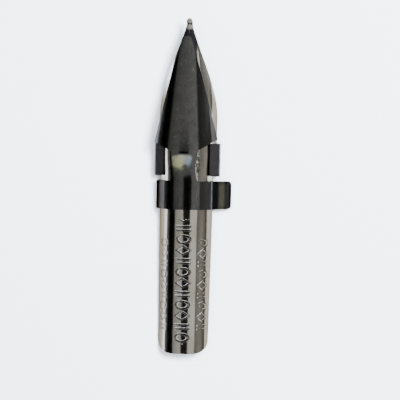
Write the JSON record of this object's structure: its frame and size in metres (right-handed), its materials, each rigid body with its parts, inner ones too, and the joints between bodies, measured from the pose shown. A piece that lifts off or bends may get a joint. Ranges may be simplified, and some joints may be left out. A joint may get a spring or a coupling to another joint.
{
  "type": "lettering nib",
  "caption": "Steel round-tip lettering nib with a half-round shank, a hinged top reservoir with a finger tab, and an under reservoir whose flaps fold over the shoulders.",
  "frame": {"origin": "on the shank's cylinder axis, at the shank's rear edge", "axes": "+Y along the shank to the writing foot, +Z out of the rounded back, +X to the side of the finger tab"},
  "size_m": [0.0087, 0.038, 0.0041],
  "materials": {
    "plated_steel": "plated, satin, slightly tarnished",
    "blued_steel": "tempered dark blue, semi-gloss"
  },
  "bodies": {
    "nib_with_under_reservoir": {"nib": "plated_steel", "under_reservoir": "blued_steel"},
    "top_reservoir": {"top_reservoir": "blued_steel"}
  },
  "joints": [
    {"name": "top_reservoir_hinge", "type": "hinge", "parent": "nib_with_under_reservoir", "child": "top_reservoir", "pos_m": [-0.00289, 0.01783, 0.00105], "axis": [0, -1, 0], "range_deg": [0, 100]}
  ]
}
